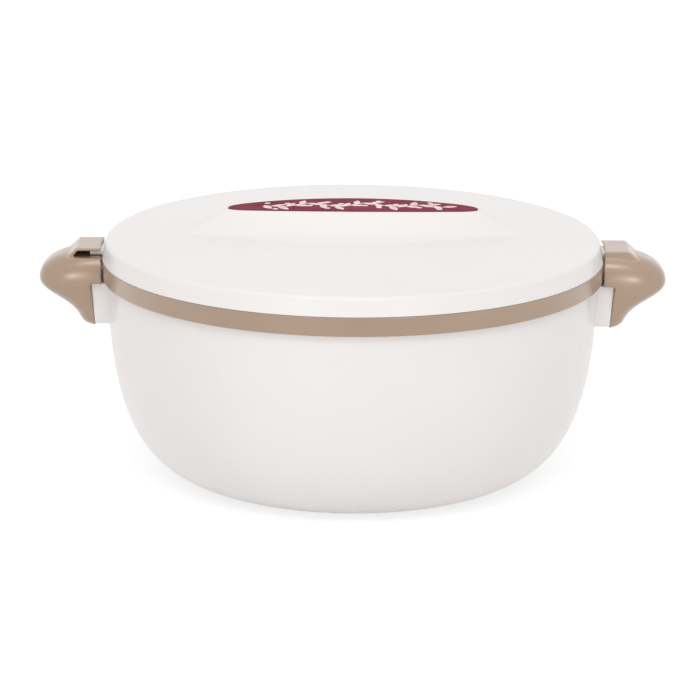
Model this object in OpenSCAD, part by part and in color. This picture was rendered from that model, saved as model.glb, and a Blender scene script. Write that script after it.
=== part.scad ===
// Insulated chapati casserole: a round double-walled bowl with a twist-lock lid.
// Axes: +Z up, the two handles lie along X, the front faces -Y.
// Origin: centre of the foot ring, on the surface the casserole stands on.

/* [Overall] */
// Outer radius of the coloured collar and of the lid's lower edge, which sets every other radius
collar_r = 135; // [120:0.5:150]

/* [Outer shell] */
// How far the shell stands back from the collar
shell_inset = 3; // [2:0.1:5]
// Height of the shell, from the table to the underside of the collar
body_h = 108; // [90:1:130]
// Wall of the moulded shell
shell_wall = 2.5; // [2:0.1:3.5]
// How straight the upper wall stays before it curves in
side_power = 2.3; // [2:0.1:3]
// How full the bottom corner is
corner_power = 6.4; // [5:0.1:8]
// Depth that the bowl curve would still run below the table
base_drop = 3.6; // [2:0.1:8]
// Width of the foot ring
foot_w = 6; // [4:0.5:10]
// How far the middle of the base is raised above the table
base_recess = 1.6; // [1:0.1:3]
// Radius of the hole through which the foam is filled
fill_hole_r = 6; // [4:0.5:8]

/* [Handle brackets on the shell] */
// Half width of a bracket, along Y
bracket_half_w = 17; // [12:0.5:18]
// How far a bracket's face stands out past the collar, at its top
bracket_out = 5.5; // [5:0.5:8]
// Height of a bracket
bracket_h = 22.5; // [20:0.5:24]
// Distance from the rim plane down to the bracket's top
bracket_drop = 12.5; // [11:0.5:13]
// How much closer to the axis the bracket's face is at its foot
bracket_taper = 2.3; // [0:0.1:3]

/* [Collar] */
// Height of the visible band
collar_h = 10; // [8:0.5:12]
// Wall of the collar's ledge and skirt
collar_wall = 2.4; // [2:0.1:3]
// How far the collar's skirt reaches down inside the shell
collar_skirt = 8; // [4:0.5:12]
// Rounding of the band's edges
collar_round = 0.7; // [0.3:0.1:1]

/* [Inner bowl] */
// From the collar's outer edge in to the steel bowl's outer face
bowl_inset = 20.2; // [19:0.1:24]
// Foam thickness under the steel bowl
bowl_floor = 12; // [8:1:20]
// Thickness of the steel sheet
sheet = 0.8; // [0.5:0.1:1.2]
// Width of the bowl's flange
bowl_flange = 7.4; // [6:0.1:8]
// Radius of the rolled bead on the flange's edge
bead_r = 0.8; // [0.6:0.1:1]
// How straight the steel bowl's wall is
bowl_side_power = 2.8; // [2.2:0.1:3.5]
// How full the steel bowl's corner is
bowl_corner_power = 5; // [4:0.1:7]

/* [Seal] */
// Width of the silicone ring
seal_w = 4.6; // [3:0.1:5]
// Height of the silicone ring
seal_h = 2.4; // [2:0.1:3]

/* [Lid] */
// Wall of the lid cover
lid_wall = 2.5; // [2:0.1:3]
// Height of the sloping skirt, up to the crease
skirt_h = 9.6; // [8:0.1:12]
// How far the skirt leans in over its height
skirt_lean = 2.5; // [1:0.1:4]
// Rounding of the crease
crease_round = 2.5; // [1:0.5:4]
// Rise of the dome, from the crease to the middle
dome_rise = 6; // [2:0.1:8]
// How deep the lid's steel plate dips into the bowl
plug_depth = 7; // [4:0.5:12]
// Radial gap between the dipping plate and the steel bowl
plug_gap = 1.8; // [1:0.1:3]
// Radius of the lid's foam hole, under the label
lid_hole_r = 5; // [4:0.5:6]

/* [Grip ridge] */
// Height of the ridge above the middle of the dome
ridge_h = 11.5; // [9:0.1:18]
// Width of the crest's rim beside the label
crest_rim = 2.5; // [1:0.1:4]
// How far the two long faces would run on past the label's tips, to meet at the crest's level
crest_tip = 11.5; // [8:0.5:20]
// Lean of the ridge's two long faces
ridge_lean = 45; // [30:1:50]
// How far the long faces flare out at the foot
ridge_flare = 6; // [3:0.5:8]
// Drop of the crest line at the label's tips
crest_drop = 2; // [1:0.1:3]
// Slope of the ridge's two long, soft ends, from the vertical
end_lean = 62; // [40:1:68]

/* [Label] */
// From the collar's outer edge in to the label's tips
label_inset = 66.5; // [60:0.5:80]
// How far the label's two long arcs would run on past its rounded tips
label_blunt = 15; // [5:1:20]
// Width of the label
label_w = 32.5; // [25:0.5:35]
// Thickness of the label
label_t = 1.2; // [0.8:0.1:1.5]
// How far the label stands out of its recess
label_proud = 0.2; // [0.1:0.1:0.5]

/* [Lugs and hooks] */
// How far a lug's tip stands out past the collar
lug_out = 6.5; // [4:0.5:8]
// Half width of a lug
lug_half_w = 9; // [6:0.5:10]
// Thickness of a lug
lug_t = 2.7; // [2.5:0.1:4]
// Height of a lug's underside above the rim plane
lug_rise = 1.1; // [0.8:0.1:2.5]
// Clearance above and below a lug in its slot
lug_gap = 0.3; // [0.2:0.05:0.5]
// Thickness of the hook plate over a lug
hook_t = 1.6; // [1.2:0.1:2.5]
// Half width of the hook plate
hook_half_w = 14; // [12:0.5:15]
// How far the slot runs past the lug's tip
slot_extra = 9; // [6:0.5:10]

/* [Handles] */
// How far a handle stands out past the collar
handle_out = 34; // [29:0.5:40]
// Half width of a handle
handle_half_w = 20; // [18:0.5:22]
// Depth of a handle's lower end below the rim plane
handle_drop = 37; // [36:0.5:40]
// Depth of the widest point below the rim plane
bulge_drop = 12; // [10:0.5:14]
// Height of a handle's top above the rim plane
handle_top = 2.6; // [2.2:0.1:3]
// How much nearer the middle each side of a handle is at its top than at its widest point
shoulder_in = 8; // [3:0.5:9]
// Wall of the hollow handle
handle_wall = 3; // [2.5:0.1:3.5]
// Thickness of the rib in a handle's hollow
handle_rib = 2.4; // [2:0.1:3]
// Gap between a handle and the collar
handle_gap = 0.6; // [0.5:0.1:1.5]

/* [Handle screws] */
// Shank radius of a handle screw
screw_r = 1.95; // [1.5:0.05:2.2]
// Length of a handle screw under its head
screw_len = 19; // [17:0.5:20]
// Head radius of a handle screw
screw_head_r = 3.8; // [3:0.1:4]
// Head height of a handle screw
screw_head_h = 2.4; // [1.8:0.1:2.8]
// Half spacing of a handle's two screws, along Y
screw_half_gap = 8; // [7:0.5:9]
// Depth of the screws below the bracket's top
screw_drop = 10.5; // [10:0.5:12]

/* [Fits] */
// Gap between foam and the walls it fills
foam_gap = 0.2; // [0.1:0.05:0.4]
// Gap between a piece and the piece that it slides over
fit_gap = 0.3; // [0.2:0.05:0.5]
// Gap round a screw's shank in the handle
thread_gap = 0.05; // [0.03:0.01:0.1]

/* [Hidden] */
$fn = 180;
white = [0.93, 0.92, 0.91];
tan_pearl = [0.75, 0.64, 0.57];
steel = [0.76, 0.77, 0.78];
zinc = [0.62, 0.63, 0.65];
foam = [0.93, 0.86, 0.66];
silicone = [0.86, 0.86, 0.84];
maroon = [0.48, 0.07, 0.20];
past = 1; // how far a cutter runs past what it cuts
root = 4; // how far a joined form starts inside the one that carries it

// Reaches, all from the collar's radius
body_r = collar_r - shell_inset;
bowl_r = collar_r - bowl_inset;
bracket_reach = collar_r + bracket_out;
lug_reach = collar_r + lug_out;
handle_reach = collar_r + handle_out;
label_len = 2 * (collar_r - label_inset);
crest_half_len = label_len / 2 + crest_tip;
crest_half_w = label_w / 2 + crest_rim;

// Levels, from the table up
rim_z = body_h + collar_h;
floor_z = base_recess + shell_wall;
bowl_z = floor_z + bowl_floor;
ledge_z = rim_z - 2 * bead_r;
flange_z = ledge_z + sheet;
seal_top = flange_z + seal_h;
liner_z = seal_top + fit_gap;
lid_z = rim_z + fit_gap;
crease_z = lid_z + skirt_h;
dome_z = crease_z + dome_rise;
crest_z = dome_z + ridge_h;

// Radii
bowl_in_r = bowl_r - sheet;
flange_r = bowl_r + bowl_flange;
ledge_r = flange_r + fit_gap;
crease_r = collar_r - skirt_lean;
skirt_angle = atan(skirt_lean / skirt_h);
dome_angle = atan(2 * dome_rise / crease_r); // the dome's slope at the crease
plug_r = bowl_in_r - plug_gap;

// Radius of a bowl-shaped curve at a depth below its mouth
function bowl_at(d, r, depth, side, corner) =
    r * pow(1 - pow(d / depth, side), 1 / corner);

// Points of that curve from the mouth down, closer together in the corner
function bowl_curve(top, bottom, r, depth, side, corner, steps) =
    [for (i = [0:steps])
        let (d = (top - bottom) * (1 - pow(1 - i / steps, 2)))
        [bowl_at(d, r, depth, side, corner), top - d]];

function backwards(points) = [for (i = [len(points) - 1:-1:0]) points[i]];

// Points of an arc about c, from angle a to angle b
function arc(c, r, a, b, steps) =
    [for (i = [0:steps]) let (t = a + (b - a) * i / steps) c + r * [cos(t), sin(t)]];

// Points of a cubic curve
function cubic(p, t) =
    pow(1 - t, 3) * p[0] + 3 * t * pow(1 - t, 2) * p[1] + 3 * t * t * (1 - t) * p[2] + t * t * t * p[3];

// The shell's outer and inner curves; grow moves a curve out from the inner wall
curve_depth = body_h + base_drop;
function shell_outer(steps) =
    bowl_curve(body_h, 0, body_r, curve_depth, side_power, corner_power, steps);
function shell_inner(grow, steps) =
    bowl_curve(body_h, floor_z - grow, body_r - shell_wall + grow,
               curve_depth - shell_wall / 2 + grow, side_power, corner_power, steps);

// The steel bowl's curve; grow moves it out from the sheet's outer face
bowl_curve_depth = ledge_z - bowl_z + base_drop;
function steel_curve(grow, steps) =
    bowl_curve(ledge_z, bowl_z - grow, bowl_r + grow, bowl_curve_depth + grow,
               bowl_side_power, bowl_corner_power, steps);

// Slab from y0 to y1, whose children are its outline in X and Z
module slab(y0, y1) {
    translate([0, y1, 0]) rotate([90, 0, 0]) linear_extrude(y1 - y0) children();
}

// A rod along +X from x0 to x1
module rod(x0, x1, r) {
    translate([x0, 0, 0]) rotate([0, 90, 0]) cylinder(r = r, h = x1 - x0, $fn = 48);
}

// Puts children at the left end as at the right end, turned half a turn
module at_left() {
    rotate([0, 0, 180]) children();
}

// Places children at a handle's two screws
module at_screws() {
    for (side = [-1, 1])
        translate([0, side * screw_half_gap, rim_z - bracket_drop - screw_drop]) children();
}

// ---- outer shell -------------------------------------------------------------

base_r = shell_outer(1)[1][0];
bracket_top = rim_z - bracket_drop;
bracket_foot = bracket_top - bracket_h;
screw_seat = body_r - shell_wall / 2; // where a screw's head bears, inside the shell

// Block on the shell that a handle is screwed to
module bracket() {
    inside = body_r - shell_wall - root;
    slab(-bracket_half_w, bracket_half_w)
        polygon([[inside, bracket_foot], [bracket_reach - bracket_taper, bracket_foot],
                 [bracket_reach, bracket_top], [inside, bracket_top]]);
}

module outer_shell() {
    color(white) difference() {
        union() {
            rotate_extrude() polygon(concat(shell_outer(22), [[0, 0], [0, body_h]]));
            bracket();
            at_left() bracket();
        }
        rotate_extrude() polygon(concat(shell_inner(0, 22), [[0, floor_z], [0, body_h + past],
                                 [body_r - shell_wall, body_h + past]]));
        translate([0, 0, -past]) cylinder(r = base_r - foot_w, h = past + base_recess);
        cylinder(r = fill_hole_r, h = floor_z + past);
        for (turn = [0, 180]) rotate([0, 0, turn]) at_screws() {
            rod(body_r / 2, screw_seat, screw_head_r + fit_gap);
            rod(body_r / 2, bracket_reach + past, screw_r + fit_gap);
        }
    }
}

// ---- plug in the foam hole of the base -----------------------------------------

plug_head = 1; // height of the plug's head

module base_plug() {
    color(white) translate([0, 0, base_recess - plug_head]) {
        cylinder(r = fill_hole_r - fit_gap / 2, h = shell_wall + plug_head);
        cylinder(r = fill_hole_r + 2 * plug_head, h = plug_head);
    }
}

// ---- foam between the shell and the steel bowl ---------------------------------

collar_under = ledge_z - collar_wall;
collar_skirt_r = body_r - shell_wall - fit_gap;

module body_foam() {
    foam_top = body_h - collar_skirt - foam_gap;
    neck_r = collar_skirt_r - collar_wall - foam_gap;
    color(foam) difference() {
        rotate_extrude() difference() {
            union() {
                intersection() {
                    polygon(concat(shell_inner(-foam_gap, 22), [[0, floor_z + foam_gap], [0, body_h]]));
                    square([body_r, foam_top]);
                }
                translate([0, foam_top - past]) square([neck_r, collar_under - foam_gap - foam_top + past]);
            }
            polygon(concat(steel_curve(foam_gap, 22), [[0, bowl_z - foam_gap], [0, rim_z],
                           [bowl_r + foam_gap, rim_z]]));
        }
        for (turn = [0, 180]) rotate([0, 0, turn]) at_screws()
            rod(screw_seat - screw_head_h - fit_gap, body_r, screw_head_r + fit_gap);
    }
}

// ---- steel bowl with its rolled rim ---------------------------------------------

module inner_bowl() {
    bead = [flange_r - bead_r, ledge_z + bead_r];
    bead_end = 140; // angle at which the rolled edge stops
    inside = bowl_curve(flange_z, bowl_z + sheet, bowl_in_r, bowl_curve_depth,
                        bowl_side_power, bowl_corner_power, 22);
    color(steel) rotate_extrude() polygon(concat(
        backwards(steel_curve(0, 22)),
        arc(bead, bead_r, -90, bead_end, 8),
        [[bead[0] - bead_r, flange_z]],
        inside,
        [[0, bowl_z + sheet], [0, bowl_z]]));
}

// ---- coloured collar --------------------------------------------------------------

module rim_collar() {
    lip = collar_round;
    color(tan_pearl) rotate_extrude() polygon(concat(
        arc([collar_r - lip, body_h + lip], lip, -90, 0, 4),
        arc([collar_r - lip, rim_z - lip], lip, 0, 90, 4),
        [[ledge_r, rim_z], [ledge_r, ledge_z],
         [bowl_r + fit_gap, ledge_z], [bowl_r + fit_gap, collar_under],
         [collar_skirt_r - collar_wall, collar_under],
         [collar_skirt_r - collar_wall, body_h - collar_skirt],
         [collar_skirt_r, body_h - collar_skirt], [collar_skirt_r, body_h]]));
}

// ---- handles ----------------------------------------------------------------------

slot_z = rim_z + lug_rise - lug_gap;
slot_top = slot_z + lug_t + 2 * lug_gap;
hook_top = slot_top + hook_t;
slot_far = lug_reach + slot_extra;
handle_in = collar_r + handle_gap;
handle_z = rim_z + handle_top;
bulge_z = rim_z - bulge_drop;
handle_foot = rim_z - handle_drop;
handle_root = body_r - 1.5 * root; // the loft starts inside the body and is trimmed to its seat

// Side view of a handle's outer line, as [x, z, half width], from the top down
handle_line = concat(
    [for (i = [0:6]) cubic([[handle_reach - 0.64 * handle_out, handle_z, handle_half_w - shoulder_in],
                            [handle_reach - 0.34 * handle_out, handle_z, handle_half_w - shoulder_in / 2],
                            [handle_reach, bulge_z + 9, handle_half_w],
                            [handle_reach, bulge_z, handle_half_w]], i / 6)],
    [for (i = [1:6]) cubic([[handle_reach, bulge_z, handle_half_w],
                            [handle_reach, bulge_z - 7.5, handle_half_w],
                            [handle_reach - 0.45 * handle_out, bulge_z - 10, handle_half_w - 1],
                            [handle_reach - 0.62 * handle_out, handle_foot + 5, handle_half_w - 3]], i / 6)],
    [for (i = [1:3]) cubic([[handle_reach - 0.62 * handle_out, handle_foot + 5, handle_half_w - 3],
                            [handle_reach - 0.66 * handle_out, handle_foot + 2, handle_half_w - 3.5],
                            [handle_reach - 0.70 * handle_out, handle_foot, handle_half_w - 5],
                            [handle_reach - 0.82 * handle_out, handle_foot, handle_half_w - 7]], i / 3)]);

// Rounded outline at one height: x = root to reach, y = -w to w
round_power = 3.2;
function ear_ring(line, steps, root) =
    [for (i = [0:steps])
        let (t = -90 + 180 * i / steps, c = max(cos(t), 0), s = sin(t))
        [root + (line[0] - root) * pow(c, 2 / round_power),
         line[2] * sign(s) * pow(abs(s), 2 / round_power), line[1]]];

// Solid through the rings of a line of [x, z, half width]
module ear(line, steps, root) {
    n = steps + 1;
    rings = [for (p = line) each ear_ring(p, steps, root)];
    last = len(line) - 1;
    sides = [for (k = [0:last - 1], i = [0:n - 1])
        let (a = k * n + i, b = k * n + (i + 1) % n)
        each [[a, b + n, a + n], [a, b, b + n]]];
    caps = [[for (i = [n - 1:-1:0]) i], [for (i = [0:n - 1]) last * n + i]];
    polyhedron(points = rings, faces = concat(sides, caps));
}

// Everything that a handle is trimmed to: the collar above, the bracket below
module handle_seat() {
    cylinder(r = handle_in, h = hook_top + past);
    slab(-3 * handle_half_w, 3 * handle_half_w)
        polygon([[0, handle_foot - past],
                 [bracket_reach - bracket_taper * (1 + (bracket_foot - handle_foot + past) / bracket_h),
                  handle_foot - past],
                 [bracket_reach, bracket_top], [0, bracket_top]]);
}

// The hook that the lid's lug turns under; its slot is closed at -Y and open at +Y
module hook() {
    slab(-hook_half_w, hook_half_w)
        polygon([[handle_root, slot_z - past], [slot_far + 3.5, slot_z - past],
                 [slot_far + 3, slot_z], [slot_far - 2.5, hook_top], [handle_root, hook_top]]);
}

module slot() {
    slab(-lug_half_w - fit_gap, 2 * handle_half_w)
        polygon([[handle_root, slot_z], [slot_far, slot_z],
                 [slot_far - 3, slot_top], [handle_root, slot_top]]);
}

// The space left inside, which opens onto the bracket; a rib and the screws' bosses cross it
module hollow() {
    wall = 1.8 * handle_wall; // the loft's outline is rounded, so the hollow stays further in
    half_w = bracket_half_w - wall;
    high = bracket_top - handle_wall;
    low = bracket_foot + handle_wall;
    side = [for (p = handle_line) if (p[1] < high && p[1] > low) [p[0] - wall, p[1]]];
    difference() {
        slab(-half_w, half_w) polygon(concat([[handle_root, high], [side[0][0], high]], side,
            [[side[len(side) - 1][0], low], [handle_root, low]]));
        slab(-handle_rib / 2, handle_rib / 2)
            polygon([[0, 0], [handle_reach, 0], [handle_reach, rim_z], [0, rim_z]]);
        at_screws() rod(handle_root - past, handle_reach, screw_r + handle_wall);
    }
}

module right_handle_shape() {
    difference() {
        union() {
            ear(handle_line, 22, handle_root);
            hook();
        }
        slot();
        hollow();
        handle_seat();
        at_screws() rod(body_r, screw_seat + screw_len + 0.5, screw_r + thread_gap);
    }
}

module right_handle() {
    color(tan_pearl) right_handle_shape();
}

module left_handle() {
    color(tan_pearl) at_left() right_handle_shape();
}

// ---- handle screws --------------------------------------------------------------

module handle_screws() {
    at_screws() {
        rod(screw_seat - screw_head_h, screw_seat, screw_head_r);
        rod(screw_seat - past, screw_seat + screw_len, screw_r);
    }
}

module right_handle_screws() {
    color(zinc) handle_screws();
}

module left_handle_screws() {
    color(zinc) at_left() handle_screws();
}

// ---- seal between the bowl's flange and the lid's plate ----------------------------

module rim_seal() {
    color(silicone) rotate_extrude() translate([bowl_r + fit_gap, flange_z + fit_gap / 2])
        square([seal_w, seal_h - fit_gap / 2]);
}

// ---- lid ---------------------------------------------------------------------------

// Height of the dome's outer face at radius r
function dome_at(r) = dome_z - dome_rise * pow(r / crease_r, 2);

// Half outline of the lid's outer face, from the skirt's lower edge to the middle
function lid_outline(steps) =
    let (side = [cos(skirt_angle), sin(skirt_angle)],
         top = [sin(dome_angle), cos(dome_angle)],
         bend = [crease_r, crease_z] - crease_round * (side + top) / (1 + side * top))
    concat([[collar_r, lid_z]],
           arc(bend, crease_round, skirt_angle, 90 - dome_angle, 5),
           [for (i = [1:steps]) let (r = crease_r * (1 - i / steps)) [r, dome_at(r)]]);

// One long face of the ridge: a leaning round solid that flares at its foot.
// Its section at any height is a wide arc, and two of them make the lens shape.
module ridge_face(inset) {
    half_w = crest_half_w * cos(ridge_lean);
    big_r = (pow(crest_half_len, 2) + pow(half_w, 2)) / (2 * half_w);
    drop = (ridge_h + ridge_flare * sin(ridge_lean)) / cos(ridge_lean);
    steps = 9;
    flare = [for (i = [0:steps]) let (k = i / steps)
        [big_r - inset + ridge_flare * pow(k, 2.2), -drop * k]];
    translate([0, crest_half_w, crest_z]) rotate([ridge_lean, 0, 0]) translate([0, -big_r, 0])
        rotate_extrude() polygon(concat([[0, 2 * drop], [big_r - inset, 2 * drop]], flare,
            [[big_r - inset + ridge_flare, -2 * drop], [0, -2 * drop]]));
}

// Round bar along Y whose top is the arched crest line, lowered by inset
module crest_arch(inset) {
    arch_r = pow(label_len / 2, 2) / (2 * crest_drop);
    translate([0, 0, crest_z - inset - arch_r]) rotate([90, 0, 0])
        cylinder(r = arch_r, h = 4 * crest_half_w + 40, center = true, $fn = 720);
}

module half_ridge(inset) {
    foot = crease_z - lid_wall - past - inset;
    fall = tan(end_lean);
    reach = label_len / 2 + (crest_z - crest_drop - foot) * fall - inset / cos(end_lean);
    intersection() {
        ridge_face(inset);
        crest_arch(inset);
        translate([0, 0, foot])
            cylinder(r1 = reach, r2 = reach - (crest_z - foot) * fall, h = crest_z - foot);
        translate([-collar_r, 0, 0]) cube([2 * collar_r, collar_r, 2 * crest_z]);
    }
}

module ridge(inset) {
    half_ridge(inset);
    mirror([0, 1, 0]) half_ridge(inset);
}

// Lens outline of the label, with its two tips rounded off
module label_outline(grow) {
    half = label_len / 2;
    wide = label_w / 2;
    big_r = (pow(half + label_blunt, 2) + wide * wide) / (2 * wide);
    intersection() {
        translate([0, wide - big_r]) circle(r = big_r + grow, $fn = 360);
        translate([0, big_r - wide]) circle(r = big_r + grow, $fn = 360);
        circle(r = half - 1.5 + grow, $fn = 360);
    }
}

// A layer that follows the arched crest, between two depths below it
module crest_layer(top, bottom, grow) {
    intersection() {
        difference() {
            crest_arch(top);
            crest_arch(bottom);
        }
        translate([0, 0, crest_z - ridge_h]) linear_extrude(2 * ridge_h) label_outline(grow);
    }
}

// The two lugs that turn under the hooks
module lugs() {
    half_angle = asin(lug_half_w / lug_reach);
    lug_in = crease_r - past;
    for (turn = [0, 180])
        rotate_extrude(angle = 2 * half_angle, start = turn - half_angle)
            translate([lug_in, rim_z + lug_rise]) square([lug_reach - lug_in, lug_t]);
}

seat_in_lid = 3.4; // width of the step that the steel plate's flange bears on

module lid_hollow() {
    step_r = collar_r - lid_wall - seat_in_lid;
    rotate_extrude() polygon(concat(
        [[0, lid_z - past], [collar_r - lid_wall, lid_z - past], [collar_r - lid_wall, lid_z],
         [liner_flange_r + fit_gap, liner_z + sheet], [step_r, liner_z + sheet],
         [step_r, liner_z + sheet + 2], [crease_r - lid_wall - 1, dome_at(crease_r) - lid_wall - 1]],
        [for (i = [1:8]) let (r = (crease_r - lid_wall - 1) * (1 - i / 8)) [r, dome_at(r) - lid_wall]]));
}

liner_flange_r = collar_r - lid_wall - fit_gap - (liner_z + sheet - lid_z) * tan(skirt_angle);

module lid_cover() {
    color(white) difference() {
        union() {
            rotate_extrude() polygon(concat(lid_outline(10), [[0, lid_z]]));
            ridge(0);
            lugs();
        }
        lid_hollow();
        ridge(lid_wall);
        crest_layer(-past, label_t - label_proud, fit_gap / 2);
        translate([0, 0, dome_z]) cylinder(r = lid_hole_r, h = 2 * ridge_h);
    }
}

// ---- plug in the lid's foam hole, under the label -----------------------------------

module lid_fill_plug() {
    top = crest_z - label_t + label_proud - fit_gap;
    color(white) translate([0, 0, top - lid_wall])
        cylinder(r = lid_hole_r - fit_gap / 2, h = lid_wall);
}

// ---- lid foam ----------------------------------------------------------------------

module lid_foam() {
    gap = foam_gap;
    step_r = collar_r - lid_wall - seat_in_lid - gap;
    low = liner_z + sheet + gap;
    under = lid_wall + gap;
    pan = plug_z + sheet + gap;
    side_r = plug_r - sheet - gap;
    color(foam) union() {
        rotate_extrude() polygon(concat(
            [[0, pan]],
            arc([plug_r - plug_bend, plug_z + plug_bend], plug_bend - sheet - gap, -90, 0, 5),
            [[side_r, low], [step_r, low], [step_r, low + 1.5],
             [crease_r - under - 1, dome_at(crease_r) - under - 1]],
            [for (i = [1:8]) let (r = (crease_r - under - 1) * (1 - i / 8)) [r, dome_at(r) - under]]));
        ridge(under + 1.5);
    }
}

// ---- steel plate that closes the lid's underside --------------------------------------

plug_z = rim_z - plug_depth; // underside of the part that dips into the bowl
plug_bend = 3; // rounding of its lower edge

module lid_liner() {
    corner = [plug_r - plug_bend, plug_z + plug_bend];
    color(steel) rotate_extrude() polygon(concat(
        [[0, plug_z]],
        arc(corner, plug_bend, -90, 0, 5),
        [[plug_r, liner_z], [liner_flange_r, liner_z], [liner_flange_r, liner_z + sheet],
         [plug_r - sheet, liner_z + sheet]],
        arc(corner, plug_bend - sheet, 0, -90, 5),
        [[0, plug_z + sheet]]));
}

// ---- label ---------------------------------------------------------------------------

module label_plate() {
    color(maroon) crest_layer(-label_proud, label_t - label_proud - foam_gap / 2, 0);
}

outer_shell();
base_plug();
body_foam();
inner_bowl();
rim_collar();
left_handle();
right_handle();
left_handle_screws();
right_handle_screws();
rim_seal();
lid_cover();
lid_fill_plug();
lid_foam();
lid_liner();
label_plate();
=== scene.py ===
# %% [markdown]
# # An insulated chapati casserole
# A white double-walled bowl with a tan collar, two tan ear handles and a white lid. The lid turns
# under a hook on each handle, and a lens-shaped ridge across it is its grip. The solids come from
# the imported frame; here each visible piece gets a finer skin in the same place, and a finish.
# The round pieces are turned with Geometry Nodes, the ridge and the ears are lofted from rings.

# %% Load the frame and keep its box
from math import asin, atan, atan2, cos, pi, radians, sin, tan

import bmesh
import bpy
import numpy as np
from mathutils import Matrix, Vector


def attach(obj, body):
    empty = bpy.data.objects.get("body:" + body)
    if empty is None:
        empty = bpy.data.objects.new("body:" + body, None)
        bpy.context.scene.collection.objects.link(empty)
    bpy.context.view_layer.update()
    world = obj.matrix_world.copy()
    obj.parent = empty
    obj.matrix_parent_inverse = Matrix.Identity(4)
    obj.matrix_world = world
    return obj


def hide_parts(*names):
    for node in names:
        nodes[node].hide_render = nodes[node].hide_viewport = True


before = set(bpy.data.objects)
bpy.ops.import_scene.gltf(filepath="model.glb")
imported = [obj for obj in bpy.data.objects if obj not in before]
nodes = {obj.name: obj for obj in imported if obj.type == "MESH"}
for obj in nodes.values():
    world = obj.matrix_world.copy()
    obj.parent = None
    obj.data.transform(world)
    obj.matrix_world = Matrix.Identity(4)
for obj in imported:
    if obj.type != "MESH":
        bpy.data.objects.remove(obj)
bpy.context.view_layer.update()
print("nodes:", ", ".join(sorted(nodes)))

# %% [markdown]
# ## Sizes
# Everything is written in millimetres, as on a maker's drawing, and scaled to metres when a mesh
# is made. The values repeat the solids' own sizes, so that each skin lies where its solid is. Only
# the lid's skirt comes down 0.2 mm further, to the fine gap above the collar that the eye expects.

# %% Levels and radii of the casserole
MM = 0.001
COLLAR_R, BODY_R, BOWL_R = 135.0, 132.0, 114.8
WALL, SHEET = 2.5, 0.8
BODY_TOP, RIM_Z, FLOOR_Z, BOWL_Z = 108.0, 118.0, 4.1, 16.1
LEDGE_Z, FLANGE_Z, FLANGE_R = 116.4, 117.2, 122.2
SEAL_TOP, PLATE_Z, LID_Z = 119.6, 119.9, 118.1
CREASE_R, CREASE_Z, DOME_Z, CREST_Z = 132.5, 127.9, 133.9, 145.4
PROUD, INK = 0.15, 0.05  # how far the label stands out of its recess, and the ink's height
print("overall height %.1f mm" % (CREST_Z + PROUD + INK))

# %% Helpers for meshes and objects


def raw_mesh(name, points, edges, faces):
    """A mesh from its points in metres."""
    mesh = bpy.data.meshes.new(name)
    mesh.from_pydata(points, edges, faces)
    return mesh


def place_object(name, data):
    """An object at the origin that shows a mesh, or is a lamp or a camera."""
    piece = bpy.data.objects.new(name, data)
    bpy.context.scene.collection.objects.link(piece)
    return piece


print("object helpers ready")

# %% [markdown]
# ## Camera
# The photograph looks down at the lid by about 13.5 degrees from 1.7 m, through a long lens, and
# the casserole sits a little low in it and turned by 0.4 degrees. The camera's axes are found
# from three facts: where the band's centre appears, which way is right, and that small roll.

# %% Make the camera
ELEVATION, ROLL = radians(13.55), radians(0.38)
DISTANCE, SENSOR = 1.7145, 36.0  # metres from the band's centre, millimetres of film
PICTURE, FOCUS = 700.0, 3175.0  # width of the picture and focal length, both in its pixels
BAND_X, BAND_Y = 2.8, 95.5  # where the band's centre is, in pixels from the picture's middle
target = Vector((0, 0, RIM_Z * MM))
eye = target + DISTANCE * Vector((0, -cos(ELEVATION), sin(ELEVATION)))
ahead = (target - eye).normalized()
right = Vector((1, 0, 0))
world_axes = Matrix((right, right.cross(ahead), ahead)).transposed()
seen_ahead = Vector((BAND_X, BAND_Y, -FOCUS)).normalized()
level = (right - seen_ahead * seen_ahead.x).normalized()
upright = level.cross(seen_ahead)
seen_right = cos(ROLL) * level - sin(ROLL) * upright
seen_up = sin(ROLL) * level + cos(ROLL) * upright
turn = world_axes @ Matrix((seen_right, seen_up, seen_ahead))

camera_data = bpy.data.cameras.new("camera")
camera_data.sensor_width = SENSOR
camera_data.lens = FOCUS * SENSOR / PICTURE
camera = place_object("camera", camera_data)
camera.matrix_world = Matrix.Translation(eye) @ turn.to_4x4()
bpy.context.scene.camera = camera
bpy.context.scene.view_settings.view_transform = "Standard"
print("camera at", [round(v, 3) for v in eye], "lens %.1f mm" % camera_data.lens)

# %% [markdown]
# ## Floor and light
# A product shot on white: the floor is a pale plain surface. To the camera, and in reflections,
# it glows a little, so it reads as white, but part of what is seen is still lit, which keeps the
# casserole's soft shadow. The light is a wide lamp above, one above the camera, two low
# ones in front that give each handle its highlight, and a pale sky. Shaders are trees of nodes,
# so the first helpers add a node and feed its inputs with values or with other nodes' outputs.

# %% Helpers for nodes


def feed(tree, node, inputs):
    """Gives inputs, by name or number, a value, or links them from an output; a node given as
    a value stands for its first output."""
    for key, value in inputs.items():
        if isinstance(value, bpy.types.Node):
            value = value.outputs[0]
        if isinstance(value, bpy.types.NodeSocket):
            tree.links.new(value, node.inputs[key])
        else:
            node.inputs[key].default_value = value
    return node


def add(tree, kind, inputs=None, **settings):
    """A new node with its settings made and its inputs fed."""
    node = tree.nodes.new(kind)
    for key, value in settings.items():
        setattr(node, key, value)
    return feed(tree, node, inputs or {})


def maths(tree, operation, *values):
    """A math node on sockets or numbers."""
    return add(tree, "ShaderNodeMath", dict(enumerate(values)), operation=operation)


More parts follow.
